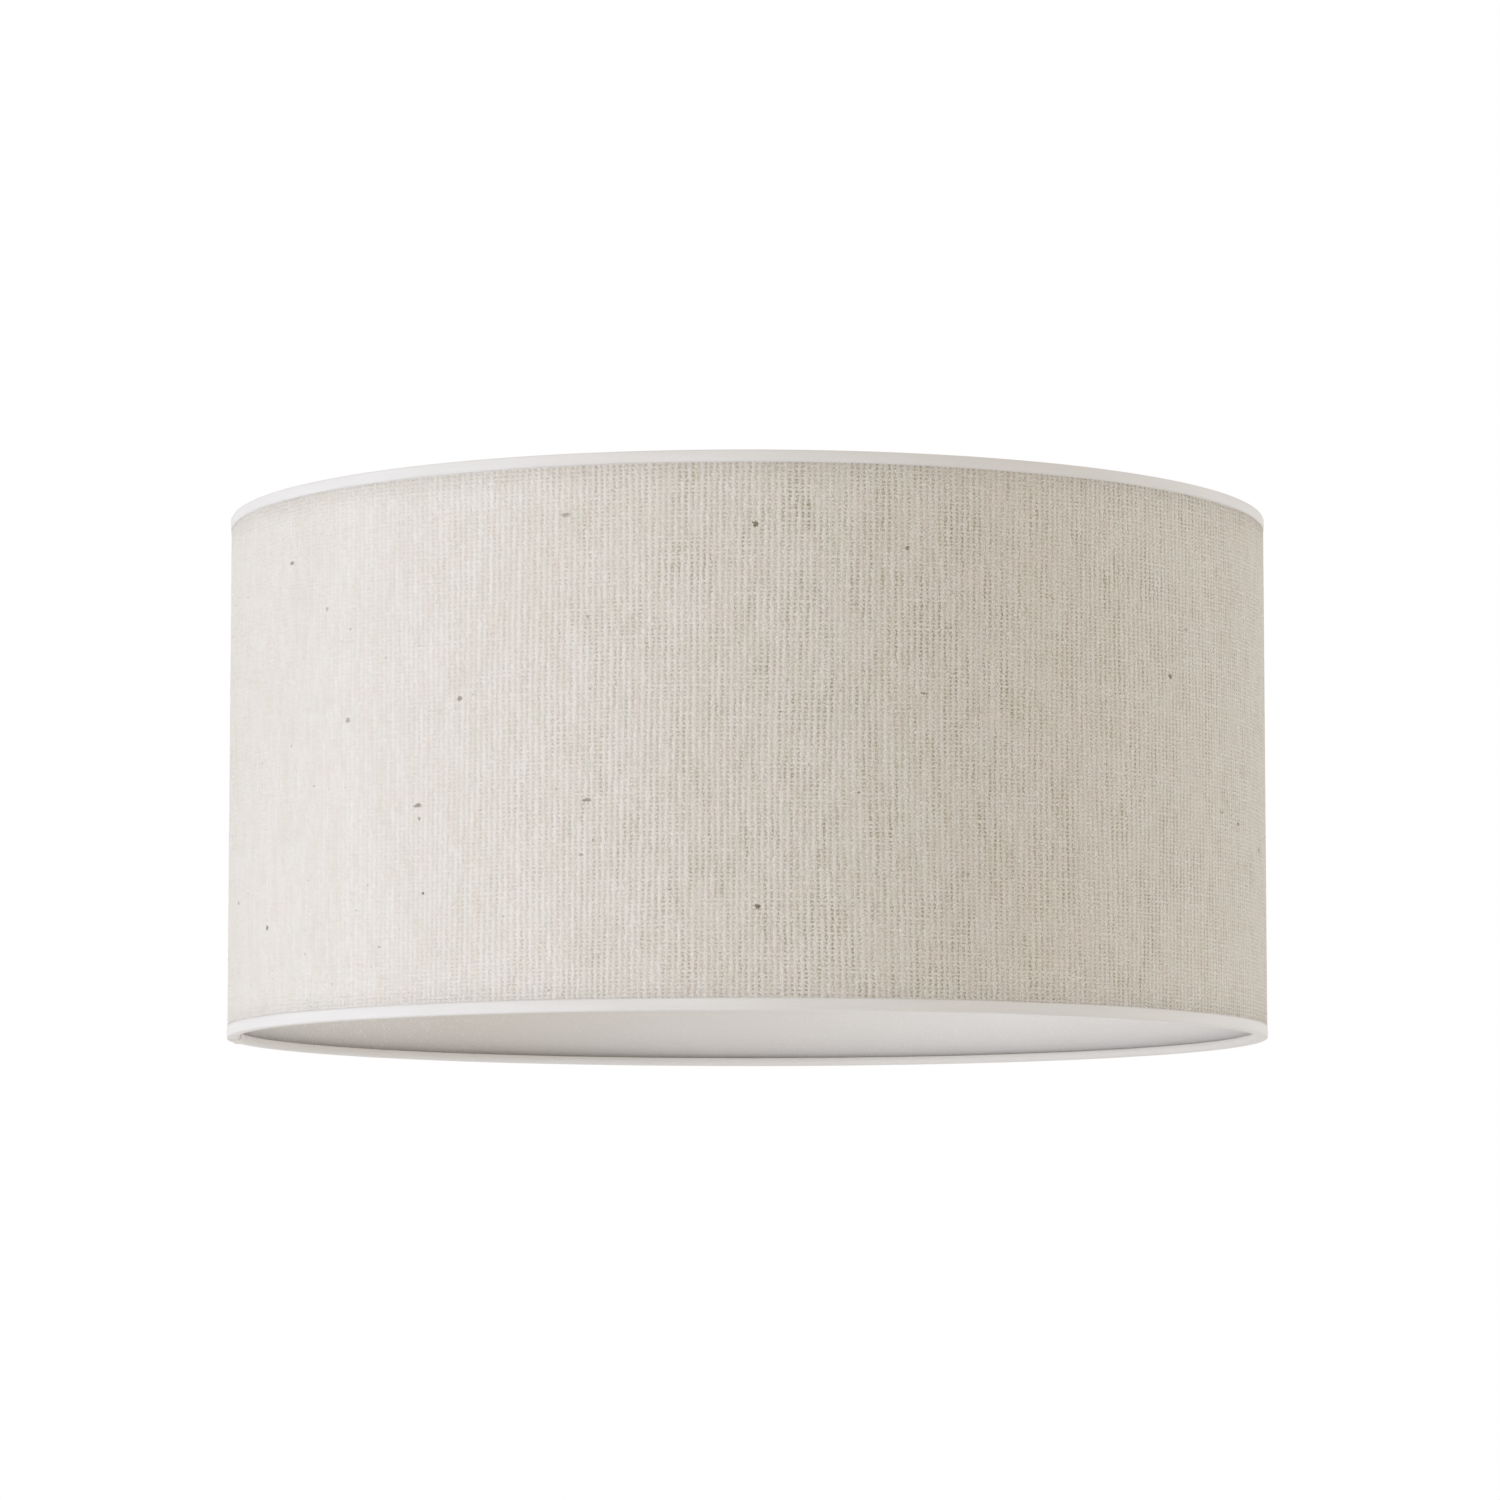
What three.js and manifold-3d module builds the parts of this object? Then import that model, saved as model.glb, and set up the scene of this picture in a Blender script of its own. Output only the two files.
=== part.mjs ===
// Drum lamp shade: a laminated panel rolled to a cylinder and lapped at its left side,
// two wire rings, a folded tape over each rim, and a three-arm fitter under the top.
// Millimetres, +Z up, origin on the axis at the level of the bottom rim.

import {
  BufferAttribute, BufferGeometry, Curve, CurvePath, CylinderGeometry, ExtrudeGeometry,
  Group, LatheGeometry, LineCurve3, Mesh, MeshStandardMaterial, QuadraticBezierCurve3,
  Shape, Vector2, Vector3,
} from 'three';
import { mergeVertices } from 'three/addons/utils/BufferGeometryUtils.js';
import Module from 'manifold-3d';

// ---------------------------------------------------------------- driving dimensions
const SHADE_RADIUS = 250;          // over the rim tapes
const SHADE_HEIGHT = 250;
const FACETS = 72;                 // flats round the shade, shared by every large piece
const SMALL_FACETS = 48;           // flats round the fitter and the reducer

const TAPE_THICKNESS = 0.4;
const TAPE_SHOWING = 5.6;          // width of the rim tape on the outside of the panel
const COVER_THICKNESS = 0.5;
const LINER_THICKNESS = 0.35;
const SEAM_TAPE_THICKNESS = 0.2;
const GLUE_GAP = 0.05;             // between layers that are bonded together
const CLEARANCE = 0.1;             // between pieces that only touch
const RING_SLACK = 0.1;            // between a ring and the tape wrapped round it
const RIM_CHAMFER = 0.3;           // where the tape turns under the rim

const LAP_WIDTH = 12;              // overlap of the panel's two ends, at the left side
const LAP_EDGE_ANGLE = 176;        // degrees from +X, where the panel's outer end stops
const JOG_START_ANGLE = 178.5;     // where the inner end starts to step inwards
const JOG_END_ANGLE = 176.5;
const SEAM_TAPE_MARGIN = 0.3;      // degrees by which the seam tape stays inside the lap

const WIRE_RADIUS = 1.5;           // rings and arms
const WIRE_SIDES = 8;
const TAPE_WRAP_STEPS = 8;         // flats of the tape round a ring
const TAPE_WRAP_END = 60;          // degrees above level, where the tape tucks in

const FITTER_BORE_RADIUS = 21.25;
const FITTER_RADIUS = 30;
const FITTER_THICKNESS = 1.2;
const FITTER_RIM_DEPTH = 5.5;
const FITTER_DROP = 26;            // fitter's top face below the shade's top
const FITTER_EDGE_ROUND = 0.8;
const ARM_COUNT = 3;
const FIRST_ARM_ANGLE = 90;
const ARM_BEND_OUTER = 7;          // straight run from the ring to the first bend
const ARM_CRANK_RUN = 14;          // how far in the arm travels while it drops
const ARM_BEND_SIZE = 6;
const ARM_BEND_STEPS = 4;
const SLIT_SLACK = 0.3;            // round an arm, where it leaves the top tape

const REDUCER_FLANGE_RADIUS = 25;
const REDUCER_FLANGE_THICKNESS = 1.6;
const REDUCER_COLLAR_RADIUS = 20.9;
const REDUCER_COLLAR_DEPTH = 4;
const REDUCER_BORE_RADIUS = 14.5;
const REDUCER_CHAMFER = 0.5;

// ---------------------------------------------------------------- worked-out places
const coverRadius = SHADE_RADIUS - TAPE_THICKNESS - CLEARANCE;
const linerRadius = coverRadius - COVER_THICKNESS - GLUE_GAP;
const panelThickness = COVER_THICKNESS + GLUE_GAP + LINER_THICKNESS;
const lapStep = panelThickness + SEAM_TAPE_THICKNESS + 2 * GLUE_GAP;
const seamTapeRadius = coverRadius - panelThickness - GLUE_GAP;
const ringRadius = coverRadius - panelThickness - lapStep - CLEARANCE - WIRE_RADIUS;
const wrapInner = WIRE_RADIUS + RING_SLACK;
const wrapOuter = wrapInner + TAPE_THICKNESS;
const ringHeight = wrapOuter;                           // ring's centre above the rim
const panelEdge = TAPE_THICKNESS + CLEARANCE;           // panel's edge above the rim
const fitterTop = SHADE_HEIGHT - FITTER_DROP;
const armHeight = fitterTop - FITTER_RIM_DEPTH / 2;
const armOuterEnd = ringRadius - WIRE_RADIUS - CLEARANCE;

const radians = (degrees) => degrees * Math.PI / 180;
const flatAngle = 360 / FACETS;
const lapCorner = Math.floor(LAP_EDGE_ANGLE / flatAngle) * flatAngle;
const lapEndAngle = LAP_EDGE_ANGLE - LAP_WIDTH / radians(1) / coverRadius;

// ---------------------------------------------------------------- materials
const finishes = {
  linen: { color: 0xddd6c8, roughness: 0.9, metalness: 0 },
  liner: { color: 0xe4ddd2, roughness: 0.6, metalness: 0 },
  tape: { color: 0xe9e5e0, roughness: 0.75, metalness: 0 },
  seamTape: { color: 0xd9d9d4, roughness: 0.6, metalness: 0 },
  steel: { color: 0xe6e5e1, roughness: 0.45, metalness: 0 },
  plastic: { color: 0xf0efeb, roughness: 0.4, metalness: 0 },
};

const shade = new Group();

function addPiece(name, geometry, finish) {
  const piece = new Mesh(geometry, new MeshStandardMaterial(finishes[finish]));
  piece.name = name;
  shade.add(piece);
}

// ---------------------------------------------------------------- round pieces
// A closed profile of [radius, height] pairs, listed anticlockwise, turned about +Z.
function turned(profile, facets) {
  const points = [...profile, profile[0]].map(([radius, height]) => new Vector2(radius, height));
  return new LatheGeometry(points, facets).rotateX(Math.PI / 2);
}

function arcPoints(centreRadius, centreHeight, radius, fromDegrees, toDegrees, steps) {
  return Array.from({ length: steps + 1 }, (_, i) => {
    const angle = radians(fromDegrees + (toDegrees - fromDegrees) * i / steps);
    return [centreRadius + radius * Math.cos(angle), centreHeight + radius * Math.sin(angle)];
  });
}

// Turns a profile of the bottom rim over for the top rim.
function atTop(profile) {
  return profile.map(([radius, height]) => [radius, SHADE_HEIGHT - height]).reverse();
}

function wireRingProfile() {
  return arcPoints(ringRadius, ringHeight, WIRE_RADIUS, 0, 360, WIRE_SIDES).slice(0, WIRE_SIDES);
}

// The tape runs up the outside of the panel, under its edge, round the ring and
// back towards the liner, where it tucks in.
function tapeProfile() {
  const inside = SHADE_RADIUS - TAPE_THICKNESS;
  return [
    [SHADE_RADIUS, RIM_CHAMFER],
    [SHADE_RADIUS, TAPE_SHOWING],
    [inside, TAPE_SHOWING],
    [inside, TAPE_THICKNESS],
    ...arcPoints(ringRadius, ringHeight, wrapInner, 270, TAPE_WRAP_END, TAPE_WRAP_STEPS),
    ...arcPoints(ringRadius, ringHeight, wrapOuter, TAPE_WRAP_END, 270, TAPE_WRAP_STEPS),
    [SHADE_RADIUS - RIM_CHAMFER, 0],
  ];
}

// ---------------------------------------------------------------- the lapped panel
// Radius, at an angle, of the flat-sided cylinder whose corners are at the given radius.
function onFlat(cornerRadius, degrees) {
  const fromMiddle = ((degrees % flatAngle) + flatAngle) % flatAngle - flatAngle / 2;
  return cornerRadius * Math.cos(radians(flatAngle / 2)) / Math.cos(radians(fromMiddle));
}

function layerSide(radius, stations) {
  return stations.map(({ angle, inset }) => {
    const reach = onFlat(radius - inset, angle);
    return new Vector2(reach * Math.cos(radians(angle)), reach * Math.sin(radians(angle)));
  });
}

// A layer of sheet that follows the stations, upright between the two rims.
function layer(radius, thickness, stations) {
  const outline = [
    ...layerSide(radius, stations),
    ...layerSide(radius - thickness, stations).reverse(),
  ];
  const height = SHADE_HEIGHT - 2 * panelEdge;
  const sheet = new ExtrudeGeometry(new Shape(outline), { depth: height, bevelEnabled: false });
  return sheet.translate(0, 0, panelEdge);
}

// From the outer end at the left side, once round, and under that end as the inner end.
function panelStations() {
  const stations = [{ angle: LAP_EDGE_ANGLE, inset: 0 }];
  for (let i = 0; i < FACETS; i += 1) {
    stations.push({ angle: lapCorner - i * flatAngle, inset: 0 });
  }
  stations.push({ angle: JOG_START_ANGLE - 360, inset: 0 });
  for (const angle of [JOG_END_ANGLE, lapCorner, lapEndAngle]) {
    stations.push({ angle: angle - 360, inset: lapStep });
  }
  return stations;
}

function seamStations() {
  const angles = [LAP_EDGE_ANGLE - SEAM_TAPE_MARGIN, lapCorner, lapEndAngle + SEAM_TAPE_MARGIN];
  return angles.map((angle) => ({ angle, inset: 0 }));
}

// ---------------------------------------------------------------- bent wire
// A route whose steps fall on its own corner points and not evenly along it.
class CornerRoute extends Curve {
  constructor(corners) {
    super();
    this.corners = corners;
  }

  getPoint(t, target = new Vector3()) {
    const last = this.corners.length - 1;
    const index = Math.min(Math.floor(t * last), last - 1);
    return target.lerpVectors(this.corners[index], this.corners[index + 1], t * last - index);
  }

  getUtoTmapping(u) {
    return u;
  }
}

// Rounds the inner corners of a line of points with short curves.
function bentRoute(points, bend, steps) {
  const path = new CurvePath();
  let start = points[0];
  for (let i = 1; i < points.length - 1; i += 1) {
    const corner = points[i];
    const before = corner.clone().add(points[i - 1].clone().sub(corner).setLength(bend));
    const after = corner.clone().add(points[i + 1].clone().sub(corner).setLength(bend));
    path.add(new LineCurve3(start, before));
    path.add(new QuadraticBezierCurve3(before, corner, after));
    start = after;
  }
  path.add(new LineCurve3(start, points.at(-1)));
  return new CornerRoute(path.getPoints(steps));
}

// Leaves the ring level, drops to the fitter's height and runs level to its rim.
function armRoute() {
  const ringLevel = SHADE_HEIGHT - ringHeight;
  const firstBend = armOuterEnd - ARM_BEND_OUTER;
  return bentRoute([
    new Vector3(armOuterEnd, 0, ringLevel),
    new Vector3(firstBend, 0, ringLevel),
    new Vector3(firstBend - ARM_CRANK_RUN, 0, armHeight),
    new Vector3(FITTER_RADIUS + CLEARANCE, 0, armHeight),
  ], ARM_BEND_SIZE, ARM_BEND_STEPS);
}

function armGeometry(degrees) {
  const section = new Shape();
  section.absarc(0, 0, WIRE_RADIUS, 0, 2 * Math.PI);
  const route = armRoute();
  const wire = new ExtrudeGeometry(section, {
    extrudePath: route,
    steps: route.corners.length - 1,
    curveSegments: WIRE_SIDES / 2,
  });
  return wire.rotateZ(radians(degrees));
}

const armAngles = Array.from(
  { length: ARM_COUNT },
  (_, i) => FIRST_ARM_ANGLE + i * 360 / ARM_COUNT,
);

// ---------------------------------------------------------------- slits in the top tape
const wasm = await Module();
wasm.setup();

function solidOf(geometry) {
  const bare = geometry.clone();
  bare.deleteAttribute('normal');
  bare.deleteAttribute('uv');
  const merged = mergeVertices(bare, 1e-3);
  return new wasm.Manifold(new wasm.Mesh({
    numProp: 3,
    vertProperties: new Float32Array(merged.attributes.position.array),
    triVerts: new Uint32Array(merged.index.array),
  }));
}

function geometryOf(solid) {
  const mesh = solid.getMesh();
  const geometry = new BufferGeometry();
  geometry.setAttribute('position', new BufferAttribute(mesh.vertProperties, 3));
  geometry.setIndex(new BufferAttribute(mesh.triVerts, 1));
  return geometry;
}

// The tape is slit where each arm leaves the ring.
function slitForArms(tape) {
  const slitRadius = WIRE_RADIUS + SLIT_SLACK;
  const slitLength = 2 * wrapOuter;
  let solid = solidOf(tape);
  for (const degrees of armAngles) {
    const tool = new CylinderGeometry(slitRadius, slitRadius, slitLength, WIRE_SIDES)
      .rotateZ(Math.PI / 2)
      .translate(ringRadius - slitLength / 2 - CLEARANCE, 0, SHADE_HEIGHT - ringHeight)
      .rotateZ(radians(degrees));
    solid = solid.subtract(solidOf(tool));
  }
  return geometryOf(solid);
}

// ---------------------------------------------------------------- fitter and reducer
function fitterProfile() {
  const web = fitterTop - FITTER_THICKNESS;
  const rimInside = FITTER_RADIUS - FITTER_THICKNESS;
  const rimFoot = fitterTop - FITTER_RIM_DEPTH;
  return [
    [FITTER_BORE_RADIUS, web],
    [rimInside, web],
    [rimInside, rimFoot],
    [FITTER_RADIUS, rimFoot],
    [FITTER_RADIUS, fitterTop - FITTER_EDGE_ROUND],
    [FITTER_RADIUS - FITTER_EDGE_ROUND, fitterTop],
    [FITTER_BORE_RADIUS, fitterTop],
  ];
}

function reducerProfile() {
  const seat = fitterTop + CLEARANCE;
  const top = seat + REDUCER_FLANGE_THICKNESS;
  const foot = seat - REDUCER_COLLAR_DEPTH;
  return [
    [REDUCER_BORE_RADIUS, foot],
    [REDUCER_COLLAR_RADIUS - REDUCER_CHAMFER, foot],
    [REDUCER_COLLAR_RADIUS, foot + REDUCER_CHAMFER],
    [REDUCER_COLLAR_RADIUS, seat],
    [REDUCER_FLANGE_RADIUS, seat],
    [REDUCER_FLANGE_RADIUS, top - REDUCER_CHAMFER],
    [REDUCER_FLANGE_RADIUS - REDUCER_CHAMFER, top],
    [REDUCER_BORE_RADIUS, top],
  ];
}

// ---------------------------------------------------------------- assembly
addPiece('fabric_cover', layer(coverRadius, COVER_THICKNESS, panelStations()), 'linen');
addPiece('liner', layer(linerRadius, LINER_THICKNESS, panelStations()), 'liner');
addPiece('seam_tape', layer(seamTapeRadius, SEAM_TAPE_THICKNESS, seamStations()), 'seamTape');

addPiece('bottom_ring', turned(wireRingProfile(), FACETS), 'steel');
addPiece('top_ring', turned(atTop(wireRingProfile()), FACETS), 'steel');
addPiece('bottom_trim', turned(tapeProfile(), FACETS), 'tape');
addPiece('top_trim', slitForArms(turned(atTop(tapeProfile()), FACETS)), 'tape');

armAngles.forEach((degrees, i) => {
  addPiece(`spider_arm_${i + 1}`, armGeometry(degrees), 'steel');
});
addPiece('fitter_ring', turned(fitterProfile(), SMALL_FACETS), 'steel');
addPiece('reducer_ring', turned(reducerProfile(), SMALL_FACETS), 'plastic');

export default shade;
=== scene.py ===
"""Drum lamp shade: the cloth, film, tape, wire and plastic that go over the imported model.

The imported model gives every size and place. Each sheet is cut flat as a grid, keeps its
flat place as a UV map in metres or in yarns, and is then rolled or folded into shape.
"""

import math

import bmesh
import bpy
from mathutils import Matrix, Vector, noise


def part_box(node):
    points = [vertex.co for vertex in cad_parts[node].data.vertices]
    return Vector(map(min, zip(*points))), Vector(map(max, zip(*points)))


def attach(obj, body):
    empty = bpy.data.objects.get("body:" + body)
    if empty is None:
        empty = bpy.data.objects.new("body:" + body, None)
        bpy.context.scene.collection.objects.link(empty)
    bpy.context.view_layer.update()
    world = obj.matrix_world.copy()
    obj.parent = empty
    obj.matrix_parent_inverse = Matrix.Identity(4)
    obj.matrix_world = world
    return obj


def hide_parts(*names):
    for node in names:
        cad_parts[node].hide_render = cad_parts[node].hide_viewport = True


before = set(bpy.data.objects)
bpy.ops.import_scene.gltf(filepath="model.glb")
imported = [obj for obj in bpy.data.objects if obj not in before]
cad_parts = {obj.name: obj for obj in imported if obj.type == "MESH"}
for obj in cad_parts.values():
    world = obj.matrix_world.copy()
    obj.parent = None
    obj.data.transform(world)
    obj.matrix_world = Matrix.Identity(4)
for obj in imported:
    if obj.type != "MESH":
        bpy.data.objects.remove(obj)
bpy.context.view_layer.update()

MM = 0.001


# ---------------------------------------------------------------- sizes, from the imported model
def reach(node):
    """Outer radius of a round CAD node."""
    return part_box(node)[1].x


def level(node):
    """Lowest and highest z of a CAD node."""
    low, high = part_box(node)
    return low.z, high.z


SHADE_RADIUS = reach("bottom_trim")
SHADE_HEIGHT = level("top_trim")[1]
COVER_RADIUS = reach("fabric_cover")
LINER_RADIUS = reach("liner")
PANEL_LOW, PANEL_HIGH = level("fabric_cover")
PANEL_HEIGHT = PANEL_HIGH - PANEL_LOW
WIRE_RADIUS = (level("bottom_ring")[1] - level("bottom_ring")[0]) / 2
RING_RADIUS = reach("bottom_ring") - WIRE_RADIUS
RING_LEVEL = sum(level("bottom_ring")) / 2
TAPE_SHOWING = level("bottom_trim")[1]
FITTER_RADIUS = reach("fitter_ring")
FITTER_LOW, FITTER_TOP = level("fitter_ring")
REDUCER_RADIUS = reach("reducer_ring")
REDUCER_LOW, REDUCER_TOP = level("reducer_ring")
ARM_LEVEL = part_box("spider_arm_1")[0].z + WIRE_RADIUS

SEAM_LOW, SEAM_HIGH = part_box("seam_tape")
SEAM_MIDDLE = (SEAM_LOW + SEAM_HIGH) / 2
SEAM_ANGLE = math.atan2(SEAM_MIDDLE.y, SEAM_MIDDLE.x)

FULL_TURN = 2 * math.pi
COVER_THICKNESS = 0.5 * MM
LINER_THICKNESS = 0.35 * MM
TAPE_THICKNESS = 0.4 * MM
CLOTH_LOFT = 0.15 * MM            # how far the nap of the linen stands proud of its CAD solid
RIB_RELIEF = 0.06 * MM            # of an upright yarn of the usual thickness
RIB_SWELL = 0.04 * MM             # how much more a thick one has
RIB_MEAN = 0.64                   # mean height of a yarn's rounded back, as a share of its top
LAP_STEP = 1.2 * MM               # how far the panel's inner end steps in under the outer
LAP_WIDTH = 12 * MM
LAP_TURN = LAP_WIDTH / COVER_RADIUS
LAP_EDGE = SEAM_ANGLE + LAP_TURN / 2       # where the panel's outer end stops
JOG_START = LAP_TURN + math.radians(0.5)   # the inner end lies stepped in up to here
JOG = math.radians(2.0)           # turn over which it then comes out to its full radius
PANEL_TURN = FULL_TURN + LAP_TURN
COVER_LENGTH = PANEL_TURN * COVER_RADIUS
FOLD_WIDTH = 9 * MM               # linen turned under along the outer end
FOLD_RISE = 0.35 * MM
FOLD_NOSE = 0.9 * MM              # how far from its edge the fold begins to round over
ADHESIVE_THICKNESS = 0.2 * MM
ADHESIVE_TOP = 0.25 * MM          # its outer face, above the linen that it is stuck on
ARM_ANGLES = [math.radians(90 + 120 * number) for number in range(3)]

WARP_PITCH = 2.9 * MM             # upright yarns, thick
WEFT_PITCH = 1.85 * MM            # level yarns, thin

SENSOR = 36                       # millimetres, as is the lens
LENS = 147.9
CAMERA_DISTANCE = 2.983
CAMERA_ELEVATION = math.radians(-5.784)
CAMERA_AIM = (1.26 * MM, 0, 140.6 * MM)
FLOOR_LEVEL = -0.9
FLOOR_SIZE = 30


# ---------------------------------------------------------------- nodes and colours
def linear(hex_colour):
    """An sRGB hex colour as linear red, green, blue and alpha."""
    channels = [int(hex_colour[i:i + 2], 16) / 255 for i in (0, 2, 4)]
    return [c / 12.92 if c <= 0.04045 else ((c + 0.055) / 1.055) ** 2.4 for c in channels] + [1.0]


def add(tree, kind, *values, **named):
    """Adds a node and returns its first output. The plain values fill its sockets in order.
    A name that starts with a capital is a socket, and any other is one of its settings."""
    made = tree.nodes.new("ShaderNode" + kind)
    for name, value in named.items():
        if name[0].islower():
            setattr(made, name, value)
    filled = list(zip([socket for socket in made.inputs if socket.enabled], values))
    filled += [(made.inputs[name.replace("_", " ")], value)
               for name, value in named.items() if name[0].isupper()]
    for socket, value in filled:
        if isinstance(value, bpy.types.NodeSocket):
            tree.links.new(value, socket)
        else:
            socket.default_value = value
    return next((socket for socket in made.outputs if socket.enabled), None)


def new_material(name):
    """A material with an empty tree, and its tree."""
    material = bpy.data.materials.new(name)
    material.use_nodes = True
    material.node_tree.nodes.clear()
    return material, material.node_tree


def surface(tree, **sockets):
    """Ends a material's tree with a Principled shader."""
    shader = add(tree, "BsdfPrincipled", **sockets)
    add(tree, "OutputMaterial", Surface=shader)


# ---------------------------------------------------------------- the linen
def yarn_noise(tree, warp, weft, across, along, detail=1.0):
    """Smooth noise on the yarn counts, from about 0.3 to 0.7. Across and along are how fast
    it changes from one upright yarn to the next, and along them from weft to weft."""
    point = add(
        tree, "CombineXYZ",
        add(tree, "Math", warp, across, operation="MULTIPLY"),
        add(tree, "Math", weft, along, operation="MULTIPLY"),
    )
    return add(tree, "TexNoise", Vector=point, Scale=1.0, Detail=detail, Roughness=0.5,
               noise_dimensions="2D")


def yarn_counts(tree):
    """The warp and weft counts of the UV map, with a wander of up to a quarter and a third
    of a yarn, because neither set of yarns runs quite true."""
    split = add(tree, "SeparateXYZ", add(tree, "UVMap", uv_map="yarns")).node
    warp, weft = split.outputs["X"], split.outputs["Y"]
    wandering = []
    for count, across, along, most in ((warp, 0.8, 0.45, 0.5), (weft, 0.5, 0.9, 0.7)):
        wander = yarn_noise(tree, warp, weft, across, along, detail=2.0)
        shift = add(tree, "Math", wander, most, -most / 2, operation="MULTIPLY_ADD")
        wandering.append(add(tree, "Math", count, shift, operation="ADD"))
    return wandering


def yarn_wave(tree, count):
    """1 and -1 in turn on the yarns, and 0 between them."""
    turned = add(tree, "Math", count, math.pi, operation="MULTIPLY")
    return add(tree, "Math", turned, operation="COSINE")


def yarn_relief(tree, warp, weft):
    """Height of the cloth, its fibres, and how thick each upright yarn is. Each yarn is a
    rounded ridge, thick and thin along its length, that rises and dips at every crossing,
    and loose fibres lie over both sets."""
    warp_wave, weft_wave = yarn_wave(tree, warp), yarn_wave(tree, weft)
    crossing = add(tree, "Math", warp_wave, weft_wave, operation="MULTIPLY")
    warp_number = add(tree, "Math", warp, operation="ROUND")
    weft_number = add(tree, "Math", weft, operation="ROUND")
    warp_slub = yarn_noise(tree, warp_number, weft, 7.31, 0.09)
    weft_slub = yarn_noise(tree, warp, weft_number, 0.07, 5.17)
    heights = []
    for wave, roundness, slub, thin, thick, rise in (
        (warp_wave, 1.1, warp_slub, 0.85, 1.15, 0.2),
        (weft_wave, 1.0, weft_slub, 0.60, 0.95, -0.2),
    ):
        ridge = add(tree, "Math", wave, operation="ABSOLUTE")
        ridge = add(tree, "Math", ridge, roundness, operation="POWER")
        girth = add(tree, "MapRange", slub, 0.3, 0.7, thin, thick, interpolation_type="SMOOTHSTEP")
        body = add(tree, "Math", ridge, girth, operation="MULTIPLY")
        heights.append(add(tree, "Math", crossing, rise, body, operation="MULTIPLY_ADD"))
    cloth = add(tree, "Math", *heights, operation="MAXIMUM")
    fibre = yarn_noise(tree, warp, weft, 5.0, 2.6, detail=3.0)
    height = add(tree, "Math", fibre, 1.1, cloth, operation="MULTIPLY_ADD")
    return height, fibre, warp_slub


def linen_gaps(tree, warp, weft, height, fibre):
    """How strongly painted shade shows in the pinholes between the yarns and under the
    fibres. Both are painted faintest where the panel's two ends meet, on the side that the
    soft boxes light head on, and strongest midway round, where the light grazes the cloth.
    Some patches and gaps get deeper painted shade than others."""
    # Painted shade: faintest at the panel's ends, lit head on, strongest midway, where light grazes
    half_wave = add(tree, "Math", warp, math.pi * WARP_PITCH / COVER_LENGTH, operation="MULTIPLY")
    painted_shade_strength = add(tree, "Math", half_wave, operation="SINE")
    patch_shade_depth = yarn_noise(tree, warp, weft, 0.16, 0.07)
    gap_number = add(tree, "Math", warp, operation="FLOOR")
    gap_shade_depth = yarn_noise(tree, gap_number, weft, 5.3, 0.08, detail=2.0)
    # Painted shade in the pinholes, where the cloth lies lowest between the yarns
    pinhole_shade = add(tree, "MapRange", height, 0.7, 1.45, 1.0, 0.0, interpolation_type="SMOOTHSTEP")
    for cause, low, high, least in (
        (painted_shade_strength, 0.36, 0.88, 0.04),
        (patch_shade_depth, 0.35, 0.65, 0.65),
        (gap_shade_depth, 0.33, 0.67, 0.40),
    ):
        share = add(tree, "MapRange", cause, low, high, least, 1.0, interpolation_type="SMOOTHSTEP")
        pinhole_shade = add(tree, "Math", pinhole_shade, share, operation="MULTIPLY")
    # Painted shade under the loose fibres, faded round the panel like the pinholes' shade
    under = add(tree, "MapRange", fibre, 0.33, 0.57, 1.0, 0.0, interpolation_type="SMOOTHSTEP")
    share = add(tree, "MapRange", painted_shade_strength, 0.5, 1.0, 0.04, 0.8, interpolation_type="SMOOTHSTEP")
    return pinhole_shade, add(tree, "Math", under, share, operation="MULTIPLY")


def linen_colour(tree, warp, weft, warp_slub, pinhole_shade, shade_under_fibres):
    """Yarns paler and darker one by one, painted shade under the fibres and in the pinholes
    between the yarns, and then soft patches of browner, greener and pinker cloth."""
    tone = add(tree, "MapRange", warp_slub, 0.32, 0.68, 0.0, 1.0, interpolation_type="SMOOTHSTEP")
    colour = add(tree, "Mix", tone, linear("ECE6DF"), linear("F0EBE6"), data_type="RGBA")
    # BDB19C is painted shade under the loose fibres
    colour = add(tree, "Mix", shade_under_fibres, colour, linear("BDB19C"), data_type="RGBA")
    # A4987F is painted shade in the pinholes between the yarns
    colour = add(tree, "Mix", pinhole_shade, colour, linear("A4987F"), data_type="RGBA")
    patch = yarn_noise(tree, warp, weft, 0.075, 0.02)
    tint = yarn_noise(tree, warp, weft, 0.31, 0.12, detail=2.0)
    for cause, low, high, at_low, at_high, hex_colour in (
        (patch, 0.35, 0.7, 0.0, 0.12, "E1D8CB"),
        (tint, 0.3, 0.5, 0.22, 0.0, "E2E0D0"),
        (tint, 0.5, 0.7, 0.0, 0.22, "ECDED5"),
    ):
        share = add(tree, "MapRange", cause, low, high, at_low, at_high, interpolation_type="SMOOTHSTEP")
        colour = add(tree, "Mix", share, colour, linear(hex_colour), data_type="RGBA")
    return colour


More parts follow.
